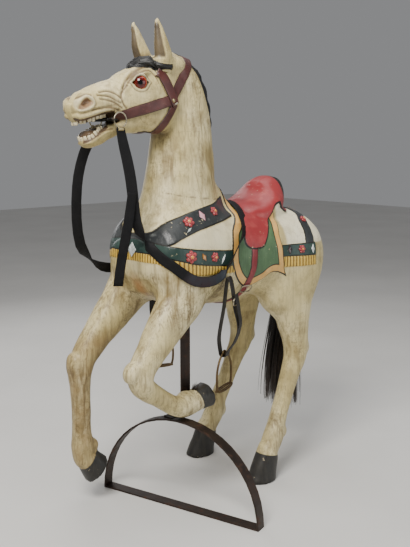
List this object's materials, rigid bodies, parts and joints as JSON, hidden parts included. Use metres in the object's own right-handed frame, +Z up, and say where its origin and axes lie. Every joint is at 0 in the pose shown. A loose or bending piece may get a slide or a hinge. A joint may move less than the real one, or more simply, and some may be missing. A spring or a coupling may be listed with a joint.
{
  "type": "carousel horse",
  "caption": "Carved and painted wooden carousel horse with raised forelegs, saddle, bridle, reins, stirrups and horsehair tail, on an iron hoop stand.",
  "frame": {"origin": "on the ground under the middle of the bounding box of everything but the loose rein", "axes": "+Z up; the horse faces -X; its left side is towards -Y"},
  "size_m": [0.977, 0.5794, 1.411],
  "materials": {
    "painted_wood": "old oil paint, ivory with coloured trappings, satin, crackled and grimy",
    "eye_glass": "clear domed glass over a painted iris",
    "bridle_leather": "worn dark red-brown leather",
    "bit_iron": "black iron",
    "bit_steel": "dull nickel plated ring",
    "rein_strap": "black woven webbing",
    "stirrup_strap": "black leather, dry",
    "stirrup_metal": "rusty bronze-brown iron",
    "horsehair": "loose black horsehair",
    "stand_iron": "dark brown-black painted flat iron, scuffed",
    "jewel_mirror": "aged mirror glass",
    "jewel_pink": "cloudy pink glass"
  },
  "bodies": {
    "root": {"horse_body": "painted_wood", "eye_left": "eye_glass", "eye_right": "eye_glass", "bridle": "bridle_leather", "bit_bar": "bit_iron", "bit_ring_left": "bit_steel", "bit_ring_right": "bit_steel", "rein": "rein_strap", "rein_end": "rein_strap", "stirrup_leather_left": "stirrup_strap", "stirrup_leather_right": "stirrup_strap", "stirrup_iron_left": "stirrup_metal", "stirrup_iron_right": "stirrup_metal", "tail": "horsehair", "stand": "stand_iron", "jewel_chest": "jewel_mirror", "jewel_collar_left": "jewel_pink", "jewel_collar_right": "jewel_pink", "jewel_rump_left": "jewel_mirror", "jewel_rump_right": "jewel_mirror"}
  },
  "joints": []
}
